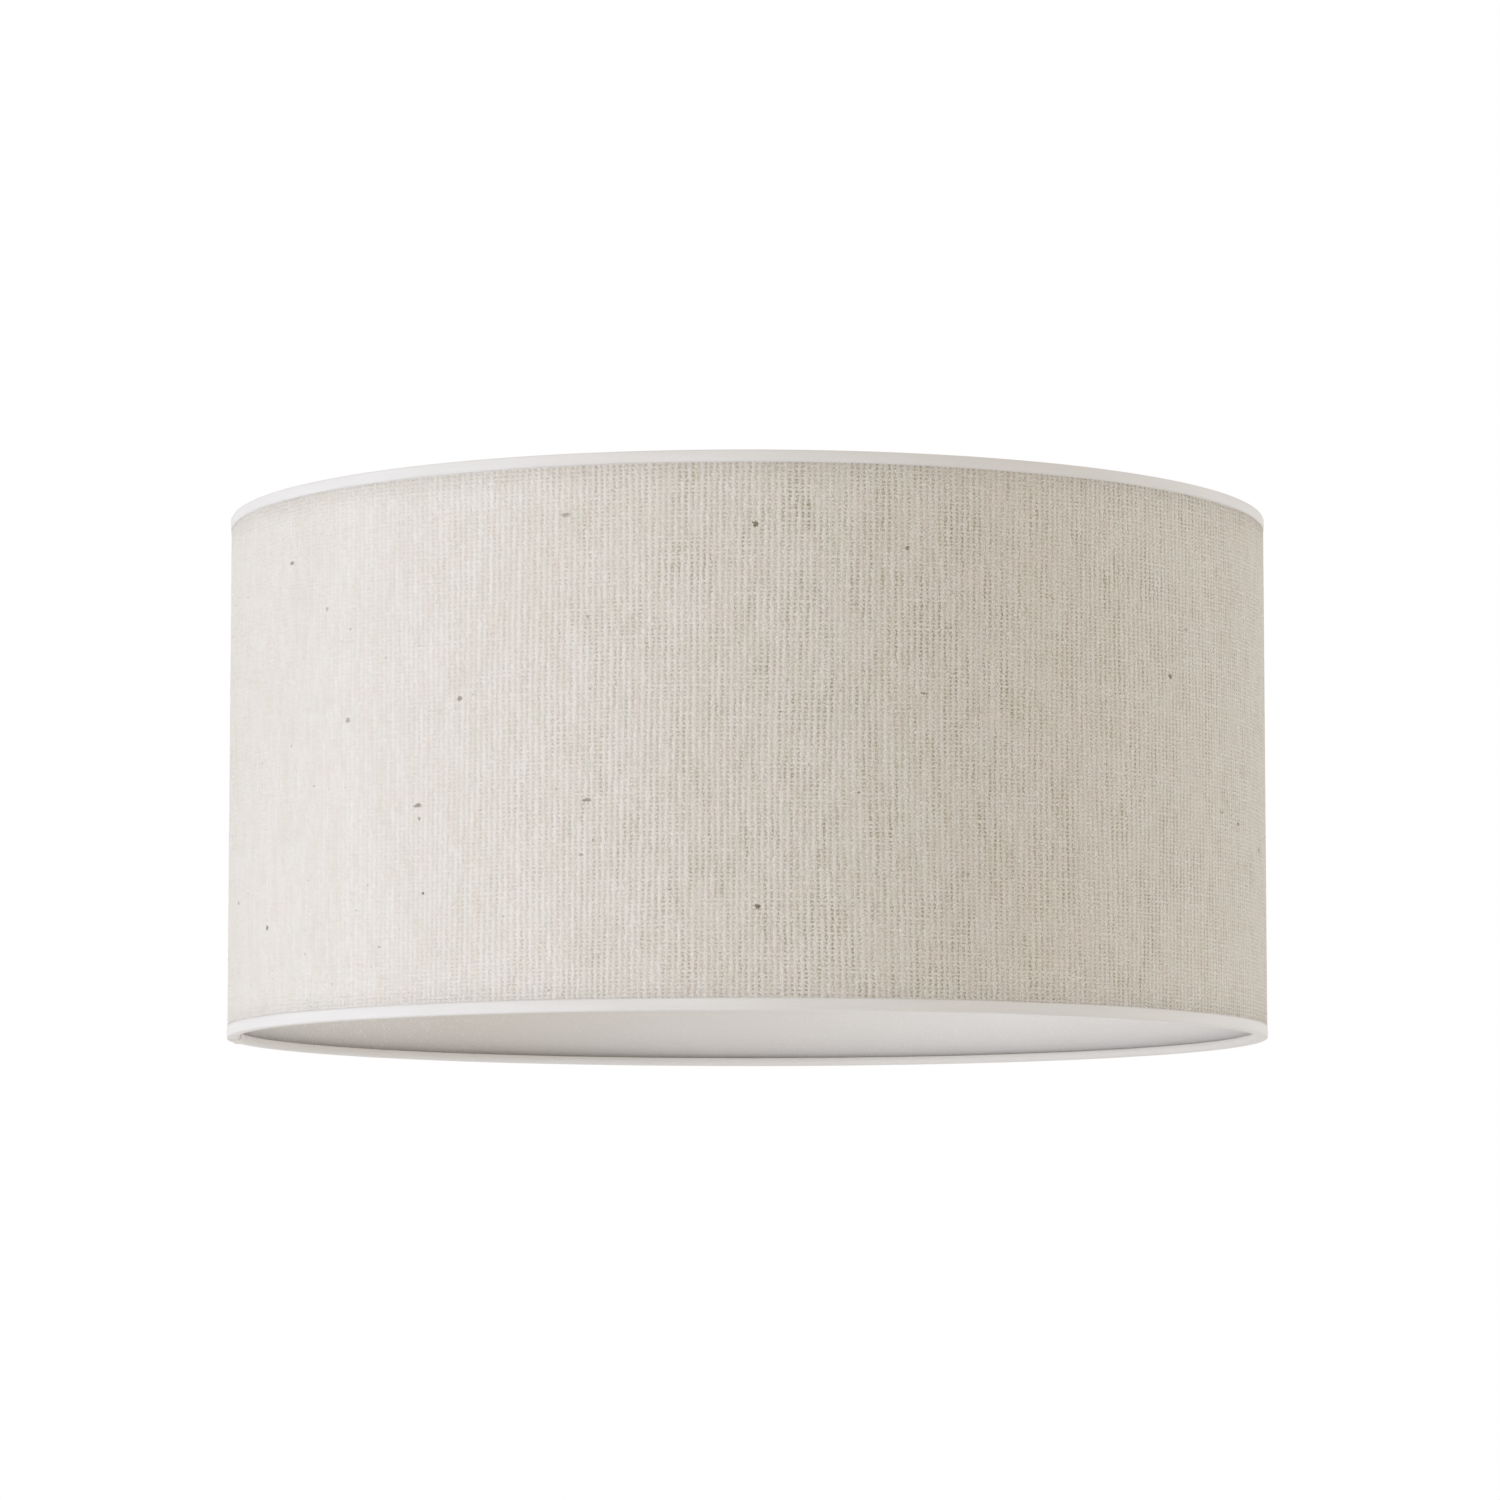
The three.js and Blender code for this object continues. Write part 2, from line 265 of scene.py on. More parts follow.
def husk_flecks(tree, warp, weft, fibre, colour):
    """Flecks of husk caught in the yarn. The rows are chips, two kinds of slivers lying
    aslant, and dust: how far apart they lie, their slant and stretch, the radius of the
    largest as a share of that spacing, and how dark the darkest is."""
    cloth_place = add(
        tree, "CombineXYZ",
        add(tree, "Math", warp, WARP_PITCH, operation="MULTIPLY"),
        add(tree, "Math", weft, WEFT_PITCH, operation="MULTIPLY"),
    )
    ragged = add(tree, "Math", fibre, 0.030, -0.015, operation="MULTIPLY_ADD")
    for spacing, slant, stretch, largest, darkest in (
        (58 * MM, 0.0, 1.25, 0.019, 0.90),
        (66 * MM, 1.0, 2.60, 0.013, 0.85),
        (71 * MM, -0.3, 2.20, 0.013, 0.70),
        (27 * MM, 0.4, 1.00, 0.022, 0.35),
    ):
        turned = add(tree, "Mapping", Vector=cloth_place, Rotation=(0, 0, slant),
                     Scale=(1 / (spacing * stretch), 1 / spacing, 1))
        cells = add(tree, "TexVoronoi", Vector=turned, Scale=1.0, voronoi_dimensions="2D").node
        chance = add(tree, "SeparateColor", cells.outputs["Color"]).node.outputs
        size = add(tree, "MapRange", chance[0], 0.25, 1.0, 0.0, largest, interpolation_type="SMOOTHSTEP")
        dark = add(tree, "MapRange", chance[1], 0.0, 1.0, 0.35, darkest, interpolation_type="SMOOTHSTEP")
        distance = add(tree, "Math", cells.outputs["Distance"], ragged, operation="ADD")
        fleck = add(tree, "Math", distance, size, operation="LESS_THAN")
        fleck = add(tree, "Math", fleck, dark, operation="MULTIPLY")
        colour = add(tree, "Mix", fleck, colour, linear("6F604C"), data_type="RGBA")
    return colour


def woven_linen():
    """Coarse natural linen in plain weave: thick upright slub yarns with pinholes between
    them where the thin level yarns cross, painted dark with the shade that falls in them,
    a dry fuzzy surface with painted shade under its fibres, and a few flecks of husk.
    Its UV map counts yarns, warp along x and weft along y."""
    material, tree = new_material("woven linen")
    warp, weft = yarn_counts(tree)
    height, fibre, warp_slub = yarn_relief(tree, warp, weft)
    pinhole_shade, shade_under_fibres = linen_gaps(tree, warp, weft, height, fibre)
    colour = linen_colour(tree, warp, weft, warp_slub, pinhole_shade, shade_under_fibres)
    colour = husk_flecks(tree, warp, weft, fibre, colour)
    bump = add(tree, "Bump", Strength=1.0, Distance=0.42 * MM, Height=height)
    surface(tree, Base_Color=colour, Roughness=0.92, Normal=bump, Specular_IOR_Level=0.25,
            Sheen_Weight=0.35, Sheen_Roughness=0.45, Sheen_Tint=linear("FFFDF8"))
    return material


# ---------------------------------------------------------------- the other materials
def backing_film():
    """Flame-retardant PVC shade film, calendered: even off-white, satin, with a faint
    orange peel and fine specks, which are strongest at the shade's -X side."""
    material, tree = new_material("PVC shade film")
    place = add(tree, "TexCoord").node.outputs["Object"]
    peel = add(tree, "TexNoise", Vector=place, Scale=1 / (6 * MM), Detail=2.0)
    speck = add(tree, "TexNoise", Vector=place, Scale=1 / (1.2 * MM), Detail=1.0)
    cloud = add(tree, "TexNoise", Vector=place, Scale=1 / (70 * MM), Detail=2.0)
    sideways = add(tree, "SeparateXYZ", place)
    speck_strength = add(tree, "MapRange", sideways, -190 * MM, -110 * MM, 0.75, 0.25)
    speck_share = add(tree, "MapRange", speck, 0.58, 0.68, 0.0, speck_strength)
    colour = add(tree, "Mix", cloud, linear("E8E5E2"), linear("ECE9E6"), data_type="RGBA")
    colour = add(tree, "Mix", speck_share, colour, linear("FBFAF8"), data_type="RGBA")
    bump = add(tree, "Bump", Strength=0.15, Distance=0.1 * MM, Height=peel)
    surface(tree, Base_Color=colour, Roughness=0.5, Normal=bump, Specular_IOR_Level=0.4)
    return material


def cotton_tape():
    """Bleached cotton rim tape, close woven and pressed flat: matt, nearly plain, with
    soft cloudy shading. Its weave is drawn at 0.8 mm, twice its real pitch, to show."""
    material, tree = new_material("cotton tape")
    place = add(tree, "UVMap", uv_map="cut")
    threads = add(tree, "TexNoise", Vector=place, Scale=1 / (0.8 * MM), Detail=2.0)
    along = add(tree, "Mapping", Vector=place, Scale=(1 / (45 * MM), 1 / (5 * MM), 1))
    streak = add(tree, "TexNoise", Vector=along, Scale=1.0, Detail=2.0)
    thread_share = add(tree, "MapRange", threads, 0.3, 0.7, 0.0, 0.12)
    colour = add(tree, "Mix", streak, linear("E1DEDC"), linear("EAE8E7"), data_type="RGBA")
    colour = add(tree, "Mix", thread_share, colour, linear("C9C2B6"), data_type="RGBA")
    bump = add(tree, "Bump", Strength=0.35, Distance=0.12 * MM, Height=threads)
    surface(tree, Base_Color=colour, Roughness=0.8, Normal=bump, Specular_IOR_Level=0.3,
            Sheen_Weight=0.15, Sheen_Roughness=0.5, Sheen_Tint=linear("FFFFFF"))
    return material


def powder_coat():
    """White polyester powder coat, baked over steel: satin, with a fine orange peel."""
    material, tree = new_material("white powder coat")
    place = add(tree, "TexCoord").node.outputs["Object"]
    peel = add(tree, "TexNoise", Vector=place, Scale=1 / (1.1 * MM), Detail=2.0)
    cloud = add(tree, "TexNoise", Vector=place, Scale=1 / (18 * MM), Detail=2.0)
    colour = add(tree, "Mix", cloud, linear("E2E1DC"), linear("EBEAE6"), data_type="RGBA")
    rough = add(tree, "MapRange", peel, 0.3, 0.7, 0.32, 0.45)
    bump = add(tree, "Bump", Strength=0.25, Distance=0.05 * MM, Height=peel)
    surface(tree, Base_Color=colour, Roughness=rough, Normal=bump, Specular_IOR_Level=0.5)
    return material


def polypropylene():
    """Injection-moulded white polypropylene: a little waxy, with a fine spark-eroded grain."""
    material, tree = new_material("moulded polypropylene")
    place = add(tree, "TexCoord").node.outputs["Object"]
    grain = add(tree, "TexNoise", Vector=place, Scale=1 / (0.5 * MM), Detail=2.0)
    flow = add(tree, "TexNoise", Vector=place, Scale=1 / (14 * MM), Detail=1.0)
    colour = add(tree, "Mix", flow, linear("F0EFEB"), linear("F6F5F2"), data_type="RGBA")
    rough = add(tree, "MapRange", grain, 0.3, 0.7, 0.38, 0.5)
    bump = add(tree, "Bump", Strength=0.2, Distance=0.03 * MM, Height=grain)
    surface(tree, Base_Color=colour, Roughness=rough, Normal=bump, IOR=1.49)
    return material


def adhesive_strip():
    """Double-sided acrylic tape: milky, smooth and a little glossy where it shows."""
    material, tree = new_material("acrylic adhesive tape")
    place = add(tree, "TexCoord").node.outputs["Object"]
    milk = add(tree, "TexNoise", Vector=place, Scale=1 / (8 * MM), Detail=2.0)
    colour = add(tree, "Mix", milk, linear("D2D1CB"), linear("DEDDD8"), data_type="RGBA")
    surface(tree, Base_Color=colour, Roughness=0.35)
    return material


# ---------------------------------------------------------------- making pieces
def finish_piece(bm, name, material, body, nodes):
    """Turns a bmesh into a smooth-shaded piece that stands for its CAD nodes."""
    mesh = bpy.data.meshes.new(name)
    for face in bm.faces:
        face.smooth = True
    bm.to_mesh(mesh)
    bm.free()
    piece = bpy.data.objects.new(name, mesh)
    bpy.context.scene.collection.objects.link(piece)
    mesh.materials.append(material)
    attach(piece, body)
    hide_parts(*nodes)
    return piece


def thicken(piece, thickness):
    """Gives a sheet its thickness, inwards from the face that shows."""
    wall = piece.modifiers.new("thickness", "SOLIDIFY")
    wall.thickness = thickness
    wall.offset = -1
    wall.use_even_offset = True


def flat_grid(columns, rows, uv_name, uv_of):
    """A flat sheet, 0 to 1 both ways, with its UV map from uv_of(x, y)."""
    bm = bmesh.new()
    bmesh.ops.create_grid(bm, x_segments=columns, y_segments=rows, size=0.5)
    bmesh.ops.translate(bm, verts=bm.verts, vec=(0.5, 0.5, 0))
    cut = bm.loops.layers.uv.new(uv_name)
    for vert in bm.verts:
        place = uv_of(vert.co.x, vert.co.y)
        for loop in vert.link_loops:
            loop[cut].uv = place
    return bm


def shape(bm, place_of):
    """Moves every point of a flat sheet to its place on the shade."""
    for vert in bm.verts:
        vert.co = place_of(vert.co.x, vert.co.y)
    return bm


def smooth_step(low, high, value):
    """0 up to low, 1 from high on, and an even S between them."""
    share = min(max((value - low) / (high - low), 0.0), 1.0)
    return share * share * (3 - 2 * share)


def bell(distance, width):
    """1 at no distance, falling off to both sides."""
    return math.exp(-(distance / width) ** 2)


def round_axis(angle, radius, z):
    """A point at an angle round the shade's axis."""
    return Vector((radius * math.cos(angle), radius * math.sin(angle), z))


# ---------------------------------------------------------------- the rolled panel
def lap_inset(turned):
    """How far the panel is stepped in, where it has turned this far from its inner end."""
    return LAP_STEP * (1 - smooth_step(JOG_START, JOG_START + JOG, turned))


def panel_angle(turned):
    """The angle round the axis, where the panel has turned this far from its inner end."""
    return LAP_EDGE - LAP_TURN + turned


def fold_rise(arc_left):
    """The turned-under linen lifts the last stretch before the panel's outer end, and
    its fold rounds over to the edge."""
    lift = FOLD_RISE * (1 - smooth_step(FOLD_WIDTH - 2 * MM, FOLD_WIDTH, arc_left))
    if arc_left < FOLD_NOSE:
        fall = 1 - math.sqrt(1 - (1 - arc_left / FOLD_NOSE) ** 2)
        lift -= 0.9 * (COVER_THICKNESS + FOLD_RISE) * fall
    return lift


def warp_count(arc, z):
    """Warp yarns counted along the cloth. They drift, and stand closer in some places."""
    drift = noise.noise(Vector((arc / 0.045, z / 0.20, 3.7)))
    wobble = noise.noise(Vector((arc / 0.009, z / 0.06, 8.1)))
    return arc / WARP_PITCH + 0.9 * drift + 0.15 * wobble


def weft_count(arc, z):
    """Weft yarns counted up the cloth. They bow slightly along it."""
    bow = noise.noise(Vector((arc / 0.11, z / 0.05, 5.5)))
    return z / WEFT_PITCH + 0.5 * bow


def rib(arc, z):
    """Relief of the upright yarns, which swell and thin along their length."""
    count = warp_count(arc, z)
    swell = noise.noise(Vector((round(count) * 1.7, z / 0.035, 1.3)))
    return (abs(math.cos(math.pi * count)) - RIB_MEAN) * (RIB_RELIEF + RIB_SWELL * swell)


def fabric_cover(material):
    """The linen, from its end under the lap, once round, to its turned-under outer end."""
    columns = 4 * round(COVER_LENGTH / WARP_PITCH)
    rows = 14

    def yarns(x, y):
        arc, z = x * COVER_LENGTH, y * PANEL_HEIGHT
        return warp_count(arc, z), weft_count(arc, z)

    def rolled(x, y):
        turned = x * PANEL_TURN
        arc, z = x * COVER_LENGTH, y * PANEL_HEIGHT
        radius = COVER_RADIUS + CLOTH_LOFT - lap_inset(turned) + fold_rise(COVER_LENGTH - arc)
        return round_axis(panel_angle(turned), radius + rib(arc, z), PANEL_LOW + z)

    bm = shape(flat_grid(columns, rows, "yarns", yarns), rolled)
    piece = finish_piece(bm, "fabric_cover_cloth", material, "shade", ["fabric_cover"])
    thicken(piece, COVER_THICKNESS)


def liner(material):
    """The film that the linen is bonded to, cut to the same size."""
    columns, rows = 540, 8

    def cut_place(x, y):
        return x * COVER_LENGTH, y * PANEL_HEIGHT

    def rolled(x, y):
        turned = x * PANEL_TURN
        radius = LINER_RADIUS - lap_inset(turned)
        return round_axis(panel_angle(turned), radius, PANEL_LOW + y * PANEL_HEIGHT)

    bm = shape(flat_grid(columns, rows, "cut", cut_place), rolled)
    piece = finish_piece(bm, "liner_film", material, "shade", ["liner"])
    thicken(piece, LINER_THICKNESS)


def seam_tape(material):
    """The double-sided strip that bonds the panel's two ends, one over the other."""
    columns, rows = 10, 6
    width = (SEAM_HIGH - SEAM_LOW).xy.length
    height = SEAM_HIGH.z - SEAM_LOW.z
    radius = COVER_RADIUS - LAP_STEP + ADHESIVE_TOP

    def cut_place(x, y):
        return x * width, y * height

    def laid(x, y):
        return round_axis(SEAM_ANGLE + (x - 0.5) * width / radius, radius, SEAM_LOW.z + y * height)

    bm = shape(flat_grid(columns, rows, "cut", cut_place), laid)
    piece = finish_piece(bm, "seam_adhesive", material, "shade", ["seam_tape"])
    thicken(piece, ADHESIVE_THICKNESS)


# ---------------------------------------------------------------- folded rim tapes
WRAP_RADIUS = RING_LEVEL          # outside of the tape round the ring, down to z = 0
TUCK_END = math.radians(30)       # the tape's hidden edge, behind the ring
STRAIGHT_DOWN = math.radians(270)
EDGE_ROUND = 0.9 * MM             # outside of the tape round the panel's edge
EDGE_SINK = 0.27 * MM             # the tape's edge is pressed into the linen
EDGE_WANDER = 0.16 * MM
JOIN_ANGLE = LAP_EDGE + math.radians(2.5)  # where the tape's two ends overlap
JOIN_WIDTH = 11 * MM
TAPE_LIFT = TAPE_THICKNESS + 0.05 * MM     # how far the tape rises to lie on itself

# The tape's section is a line of points, in four runs of this many steps.
WRAP_STEPS = 26                   # round the ring
FLAT_STEPS = 3                    # under the rim
CORNER_STEPS = 4                  # round the panel's edge
SIDE_STEPS = 4                    # up the outside, on the linen
FACING_IN = 17                    # the point that faces the shade's axis
CORNER_START = WRAP_STEPS + FLAT_STEPS
CORNER_MIDDLE = CORNER_START + CORNER_STEPS // 2
SIDE_MIDDLE = CORNER_START + CORNER_STEPS + SIDE_STEPS // 2


def tape_section(lift):
    """The outside of the tape round the bottom rim as (radius, z) points, from its
    tucked edge behind the ring to its edge on the linen, raised by a lift."""
    points = []
    wrap = WRAP_RADIUS + lift
    for step in range(WRAP_STEPS + 1):
        angle = TUCK_END + (STRAIGHT_DOWN - TUCK_END) * step / WRAP_STEPS
        points.append((RING_RADIUS + wrap * math.cos(angle), RING_LEVEL + wrap * math.sin(angle)))
    flat_end = SHADE_RADIUS - EDGE_ROUND
    for step in range(1, FLAT_STEPS):
        points.append((RING_RADIUS + (flat_end - RING_RADIUS) * step / FLAT_STEPS, -lift))
    turn = EDGE_ROUND + lift
    for step in range(CORNER_STEPS + 1):
        angle = STRAIGHT_DOWN + math.radians(90) * step / CORNER_STEPS
        points.append((flat_end + turn * math.cos(angle), EDGE_ROUND + turn * math.sin(angle)))
    sink_start = SIDE_STEPS // 2
    for step in range(1, SIDE_STEPS + 1):
        sink = EDGE_SINK * max(step - sink_start, 0) / (SIDE_STEPS - sink_start)
        z = EDGE_ROUND + (TAPE_SHOWING - EDGE_ROUND) * step / SIDE_STEPS
        points.append((SHADE_RADIUS - sink + lift, z))
    return points


def lengths_along(points):
    """Distance of each point from the first, along the line of points."""
    total, found = 0.0, [0.0]
    for before, after in zip(points, points[1:]):
        total += math.dist(before, after)
        found.append(total)
    return found


SECTION = tape_section(0.0)
SECTION_LIFTED = tape_section(TAPE_LIFT)
SECTION_LENGTHS = lengths_along(SECTION)
TAPE_TURN = FULL_TURN + JOIN_WIDTH / SHADE_RADIUS
TAPE_LENGTH = TAPE_TURN * SHADE_RADIUS


# The next four functions give heights as shares of TAPE_LIFT.
def over_join(turned):
    """The tape's outer end lies on its inner end."""
    past = (turned - FULL_TURN) * SHADE_RADIUS
    return smooth_step(-2.5 * MM, 0.5 * MM, past)


def over_seam(away, index):
    """The tape rides up over the linen's fold and dips into the step beyond it, where
    away is the distance past the panel's outer end."""
    rise = smooth_step(-12 * MM, -9 * MM, away) - smooth_step(0.2 * MM, 1.6 * MM, away)
    dip = bell(away - 4 * MM, 2.6 * MM)
    rise *= 1.15 * smooth_step(WRAP_STEPS, CORNER_START + 1, index)
    dip *= 1.3 * smooth_step(CORNER_MIDDLE, SIDE_MIDDLE, index)
    return rise - dip


def over_arms(angle, index):
    """The top tape puckers where it passes over the arms' outer ends."""
    gaps = [math.remainder(angle - arm, FULL_TURN) * RING_RADIUS for arm in ARM_ANGLES]
    return sum(0.7 * bell(gap, 3.2 * MM) for gap in gaps) * bell(index - FACING_IN, 5)


def ripple(turned, index, seed):
    """The tape isn't glued down quite evenly."""
    return 0.07 * noise.noise(Vector((turned * 14, index / 9, seed)))


def rim_tape(name, node, at_top, seed, material):
    """A tape glued round a rim, folded over it and tucked in behind the ring."""
    columns, rows = 960, len(SECTION) - 1

    def cut_place(x, y):
        return x * TAPE_LENGTH, SECTION_LENGTHS[round(y * rows)]

    def folded(x, y):
        index = round(y * rows)
        turned = x * TAPE_TURN
        angle = JOIN_ANGLE + turned
        away = math.remainder(angle - LAP_EDGE, FULL_TURN) * SHADE_RADIUS
        share = over_join(turned) + over_seam(away, index) + ripple(turned, index, seed)
        if at_top:
            share += over_arms(angle, index)
        low, high = Vector(SECTION[index]), Vector(SECTION_LIFTED[index])
        radius, z = low + (high - low) * share
        if index == rows:
            z += EDGE_WANDER * noise.noise(Vector((turned * 9, 0.3, seed)))
        return round_axis(angle, radius, SHADE_HEIGHT - z if at_top else z)

    bm = shape(flat_grid(columns, rows, "cut", cut_place), folded)
    if at_top:
        bmesh.ops.reverse_faces(bm, faces=bm.faces)
    piece = finish_piece(bm, name, material, "shade", [node])
    thicken(piece, TAPE_THICKNESS)


# ---------------------------------------------------------------- wire and pressed steel
WIRE_SIDES = 16
RING_STEPS = 240
BEND_STEPS = 8


def wire_end(bm, radius, centre, turn_axis):
    """A circle of edges, stood up by a quarter turn about the X or the Y axis, where a
    wire begins. Returns its edges."""
    made = bmesh.ops.create_circle(bm, cap_ends=False, radius=radius, segments=WIRE_SIDES)
    quarter = Matrix.Rotation(math.pi / 2, 3, turn_axis)
    bmesh.ops.rotate(bm, verts=made["verts"], cent=(0, 0, 0), matrix=quarter)
    bmesh.ops.translate(bm, verts=made["verts"], vec=centre)
    return list({edge for vert in made["verts"] for edge in vert.link_edges})


def spun(bm, edges, steps):
    """Spins edges once round the shade's axis into a closed ring."""
    verts = list({vert for edge in edges for vert in edge.verts})
    bmesh.ops.spin(bm, geom=verts + edges, cent=(0, 0, 0), axis=(0, 0, 1), angle=FULL_TURN,
                   steps=steps, use_merge=True, use_normal_flip=False, use_duplicate=False)
    bmesh.ops.remove_doubles(bm, verts=bm.verts, dist=0.001 * MM)
    bmesh.ops.recalc_face_normals(bm, faces=bm.faces)


def wire_ring(name, node, z, material):
    """A ring of round wire."""
    bm = bmesh.new()
    spun(bm, wire_end(bm, WIRE_RADIUS, (RING_RADIUS, 0, z), "X"), RING_STEPS)
    finish_piece(bm, name, material, "shade", [node])


def edges_of(made):
    """The edges among what an operator made."""
    return [item for item in made if isinstance(item, bmesh.types.BMEdge)]


def run_on(bm, loop, move, widen=1.0):
    """Extrudes a loop of edges straight on, and may widen its end."""
    made = bmesh.ops.extrude_edge_only(bm, edges=loop)["geom"]
    verts = [item for item in made if isinstance(item, bmesh.types.BMVert)]
    bmesh.ops.translate(bm, verts=verts, vec=move)
    centre = sum((vert.co for vert in verts), Vector()) / len(verts)
    bmesh.ops.scale(bm, verts=verts, vec=(widen,) * 3, space=Matrix.Translation(-centre))
    return edges_of(made)


def bend(bm, loop, centre, angle):
    """Spins a loop of edges about a level axis, as a bending jig does."""
    verts = list({vert for edge in loop for vert in edge.verts})
    made = bmesh.ops.spin(bm, geom=verts + loop, cent=centre, axis=(0, 1, 0), angle=angle,
                          steps=BEND_STEPS, use_merge=False, use_normal_flip=False,
                          use_duplicate=False)
    return edges_of(made["geom_last"])


def middle(loop):
    """The centre of a loop of edges."""
    verts = {vert for edge in loop for vert in edge.verts}
    return sum((vert.co for vert in verts), Vector()) / len(verts)


def spider_arm(number, angle, material):
    """A wire cranked down from the top ring and welded to the fitter's rim. It is made
    along +X, from the ring inwards, and then turned to its place."""
    slope = math.radians(62)
    bend_radius = 7 * MM
    ring_weld = 1.6 * MM
    ring_flare = 1.35
    level_start = 3.4 * MM
    fitter_weld = 1.8 * MM
    sunk_in_ring = WIRE_RADIUS * 0.6
    top = SHADE_HEIGHT - RING_LEVEL
    bends_drop = 2 * bend_radius * (1 - math.cos(slope))
    straight = (top - ARM_LEVEL - bends_drop) / math.sin(slope)
    bm = bmesh.new()
    loop = wire_end(bm, WIRE_RADIUS * ring_flare, (RING_RADIUS - sunk_in_ring, 0, top), "Y")
    loop = run_on(bm, loop, (-ring_weld, 0, 0), 1 / ring_flare)
    loop = run_on(bm, loop, (-level_start, 0, 0))
    loop = bend(bm, loop, middle(loop) - Vector((0, 0, bend_radius)), -slope)
    down = Vector((-math.cos(slope), 0, -math.sin(slope)))
    loop = run_on(bm, loop, down * straight)
    above = Vector((-math.sin(slope), 0, math.cos(slope)))
    loop = bend(bm, loop, middle(loop) + above * bend_radius, slope)
    left = middle(loop).x - FITTER_RADIUS - fitter_weld
    loop = run_on(bm, loop, (-left, 0, 0))
    loop = run_on(bm, loop, (-fitter_weld * 0.5, 0, 0), 1.12)
    run_on(bm, loop, (-fitter_weld * 0.7, 0, 0), 1.25)
    bmesh.ops.holes_fill(bm, edges=bm.edges, sides=0)
    bmesh.ops.rotate(bm, verts=bm.verts, cent=(0, 0, 0), matrix=Matrix.Rotation(angle, 3, "Z"))
    bmesh.ops.recalc_face_normals(bm, faces=bm.faces)
    finish_piece(bm, f"spider_wire_{number}", material, "shade",
                 [f"spider_arm_{number}"])


# ---------------------------------------------------------------- fitter and reducer
def closed_profile(bm, points):
    """A closed line of edges through (radius, z) points."""
    verts = [bm.verts.new((radius, 0, z)) for radius, z in points]
    return [bm.edges.new(pair) for pair in zip(verts, verts[1:] + verts[:1])]


def round_edges(piece, width):
    """Rounds a piece's sharp edges."""
    edge = piece.modifiers.new("rounded edges", "BEVEL")
    edge.width = width
    edge.segments = 3
    edge.limit_method = "ANGLE"
    edge.angle_limit = math.radians(30)


def fitter_ring(material):
    """Pressed steel ring with a turned-down rim."""
    thickness = 1.2 * MM
    bore = 21.25 * MM
    chamfer = 0.8 * MM
    web = FITTER_TOP - thickness
    bm = bmesh.new()
    profile = closed_profile(bm, [
        (bore, web),
        (FITTER_RADIUS - thickness, web),
        (FITTER_RADIUS - thickness, FITTER_LOW),
        (FITTER_RADIUS, FITTER_LOW),
        (FITTER_RADIUS, FITTER_TOP - chamfer),
        (FITTER_RADIUS - chamfer, FITTER_TOP),
        (bore, FITTER_TOP),
    ])
    spun(bm, profile, steps=128)
    piece = finish_piece(bm, "fitter_pressing", material, "shade", ["fitter_ring"])
    round_edges(piece, 0.35 * MM)


def reducer_ring(material):
    """Flanged plastic ring that sits in the fitter, with a low lip round its hole."""
    bore = 14.5 * MM
    collar = 20.9 * MM
    flange = 1.6 * MM
    chamfer = 0.5 * MM
    lip = 0.5 * MM
    lip_top = bore + 2.0 * MM
    lip_foot = bore + 2.2 * MM
    seat = REDUCER_TOP - flange
    bm = bmesh.new()
    profile = closed_profile(bm, [
        (bore, REDUCER_LOW),
        (collar - chamfer, REDUCER_LOW),
        (collar, REDUCER_LOW + chamfer),
        (collar, seat),
        (REDUCER_RADIUS, seat),
        (REDUCER_RADIUS, REDUCER_TOP),
        (lip_foot, REDUCER_TOP),
        (lip_top, REDUCER_TOP + lip),
        (bore, REDUCER_TOP + lip),
    ])
    spun(bm, profile, steps=120)
    piece = finish_piece(bm, "reducer_moulding", material, "reducer", ["reducer_ring"])
    round_edges(piece, 0.25 * MM)


# ---------------------------------------------------------------- studio
def stand_back(holder, target, azimuth, elevation, distance):
    """Puts a camera or light this far from a target, facing it. Azimuth 0 is in front of
    the shade and 90 degrees to its right."""
    back = Vector((
        math.sin(azimuth) * math.cos(elevation),
        -math.cos(azimuth) * math.cos(elevation),
        math.sin(elevation),
    ))
    holder.location = target + back * distance
    holder.rotation_euler = (-back).to_track_quat("-Z", "Y").to_euler()
    bpy.context.scene.collection.objects.link(holder)


def camera():
    """The camera stands below the shade's middle and looks slightly up at it."""
    view = bpy.data.cameras.new("camera")
    view.lens = LENS
    view.sensor_width = SENSOR
    holder = bpy.data.objects.new("camera", view)
    stand_back(holder, Vector(CAMERA_AIM), 0, CAMERA_ELEVATION, CAMERA_DISTANCE)
    bpy.context.scene.camera = holder


def soft_light(name, azimuth, elevation, distance, size, power, colour):
    """A square soft box that faces the middle of the shade, and that the camera can't see."""
    light = bpy.data.lights.new(name, "AREA")
    light.shape = "SQUARE"
    light.size = size
    light.energy = power
    light.color = colour
    holder = bpy.data.objects.new(name, light)
    holder.visible_camera = False
    target = Vector((0, 0, SHADE_HEIGHT / 2))
    stand_back(holder, target, math.radians(azimuth), math.radians(elevation), distance)


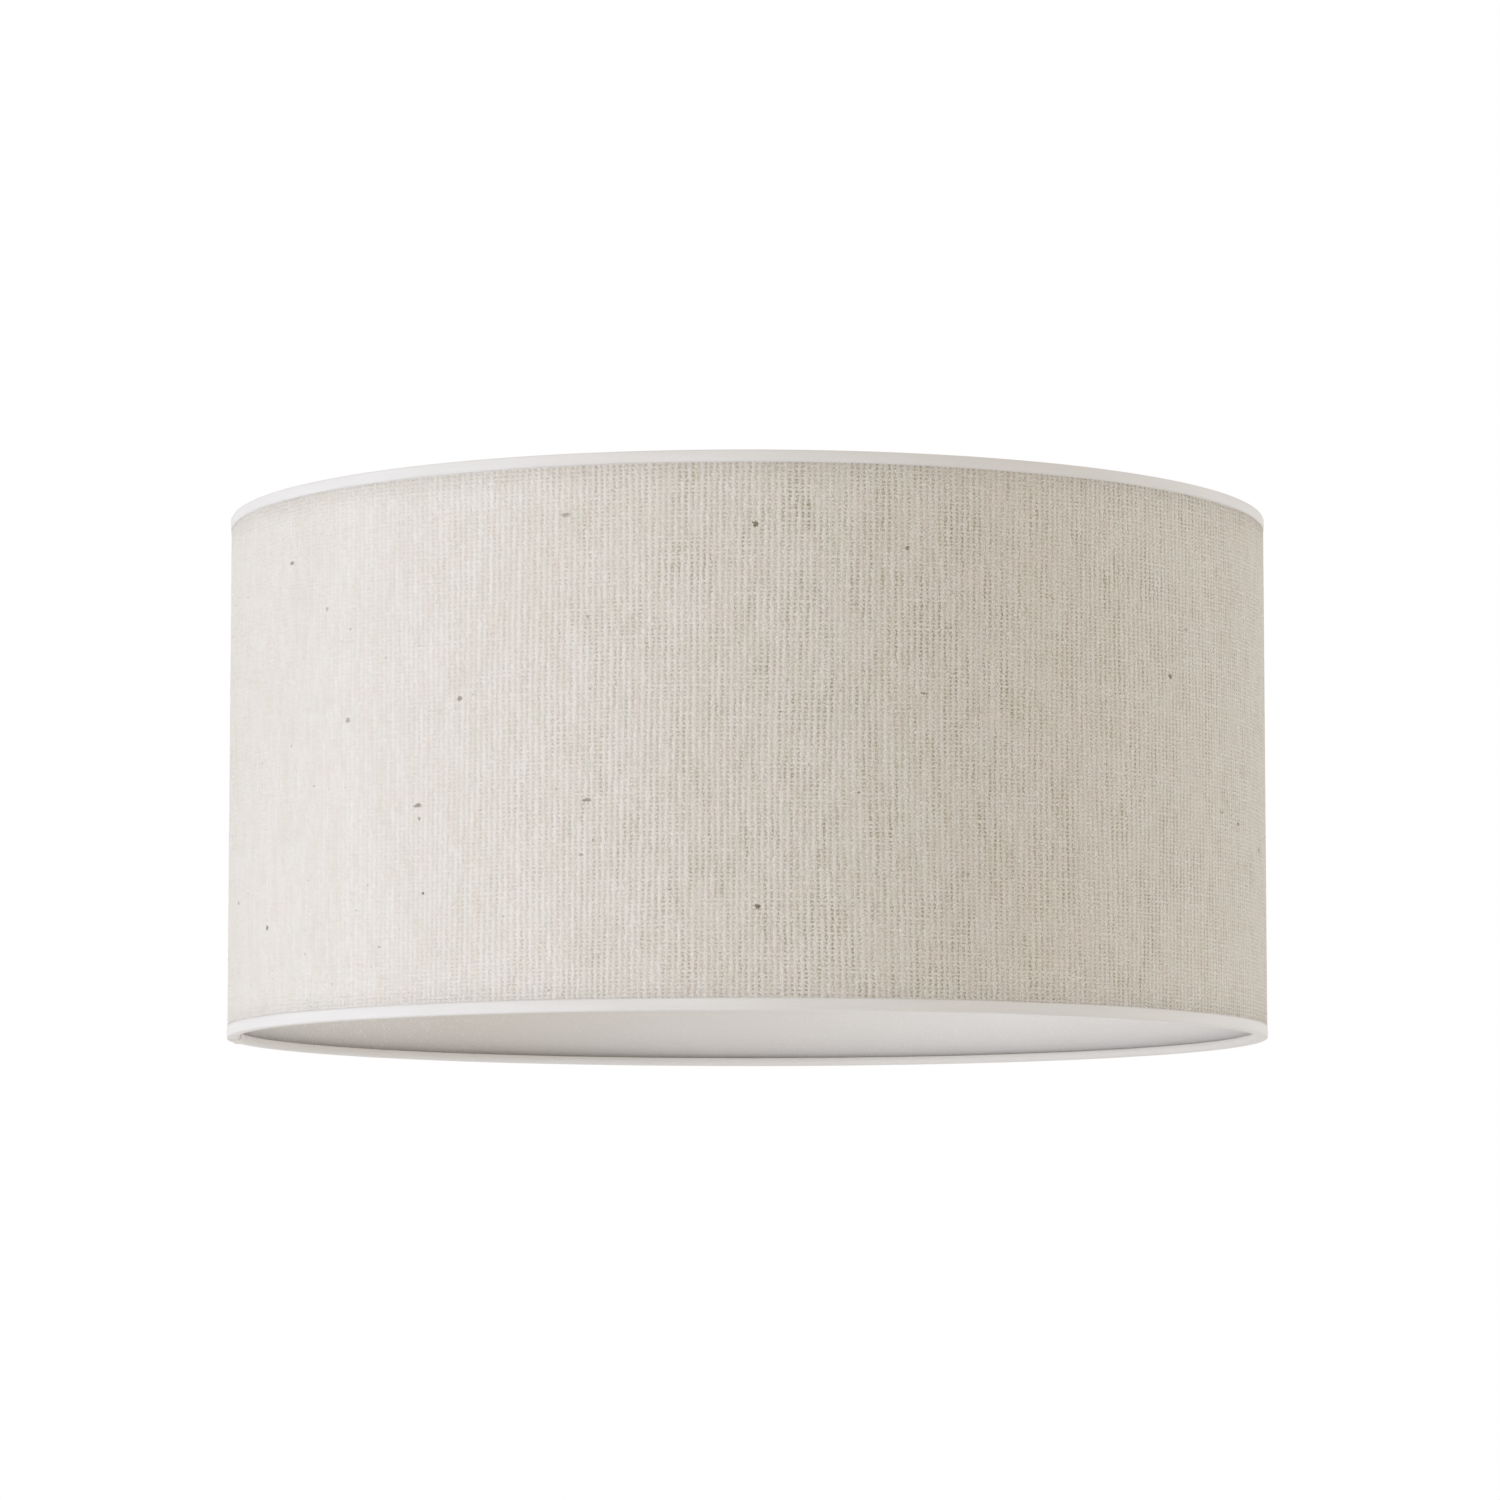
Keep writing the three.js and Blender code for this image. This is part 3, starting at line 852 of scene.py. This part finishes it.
def white_room():
    """Warm soft light from all round, which the camera sees as plain white."""
    world = bpy.data.worlds.new("white room")
    world.use_nodes = True
    tree = world.node_tree
    tree.nodes.clear()
    seen = add(tree, "LightPath")
    ambient = add(tree, "Background", Color=(1.0, 0.946, 0.882, 1), Strength=0.765)
    white = add(tree, "Background", Color=(1, 1, 1, 1), Strength=1.0)
    add(tree, "OutputWorld", Surface=add(tree, "MixShader", seen, ambient, white))
    bpy.context.scene.world = world
    bpy.context.scene.view_settings.view_transform = "Standard"


def white_floor():
    """A floor well below the shade, so that its underside gets light. The camera sees it
    as plain white."""
    bm = bmesh.new()
    bmesh.ops.create_grid(bm, x_segments=1, y_segments=1, size=FLOOR_SIZE)
    mesh = bpy.data.meshes.new("floor")
    bm.to_mesh(mesh)
    bm.free()
    floor = bpy.data.objects.new("floor", mesh)
    floor.location.z = FLOOR_LEVEL
    bpy.context.scene.collection.objects.link(floor)
    material, tree = new_material("white painted floor")
    seen = add(tree, "LightPath")
    paint = add(tree, "BsdfDiffuse", Color=linear("F0F0EE"))
    glow = add(tree, "Emission", Color=(1, 1, 1, 1), Strength=1.0)
    add(tree, "OutputMaterial", Surface=add(tree, "MixShader", seen, paint, glow))
    mesh.materials.append(material)


def studio():
    """Most of the light comes from all round. Cool soft boxes on the left, low on the left
    and behind on the right shape it."""
    white_room()
    white_floor()
    soft_light("left soft box", -60, 0, 2.0, 4.5, 18.4, (0.72, 0.9, 1.0))
    soft_light("low soft box", -60, -15, 2.5, 1.2, 19.3, (0.758, 0.81, 1.0))
    soft_light("right rim light", 110, 0, 2.4, 1.0, 12.9, (0.82, 0.905, 1.0))


# ---------------------------------------------------------------- the shade
camera()
studio()

tape = cotton_tape()
steel = powder_coat()

fabric_cover(woven_linen())
liner(backing_film())
seam_tape(adhesive_strip())
wire_ring("bottom_wire", "bottom_ring", RING_LEVEL, steel)
wire_ring("top_wire", "top_ring", SHADE_HEIGHT - RING_LEVEL, steel)
rim_tape("bottom_rim_tape", "bottom_trim", False, 2.4, tape)
rim_tape("top_rim_tape", "top_trim", True, 9.6, tape)
for number, arm_angle in enumerate(ARM_ANGLES, start=1):
    spider_arm(number, arm_angle, steel)
fitter_ring(steel)
reducer_ring(polypropylene())
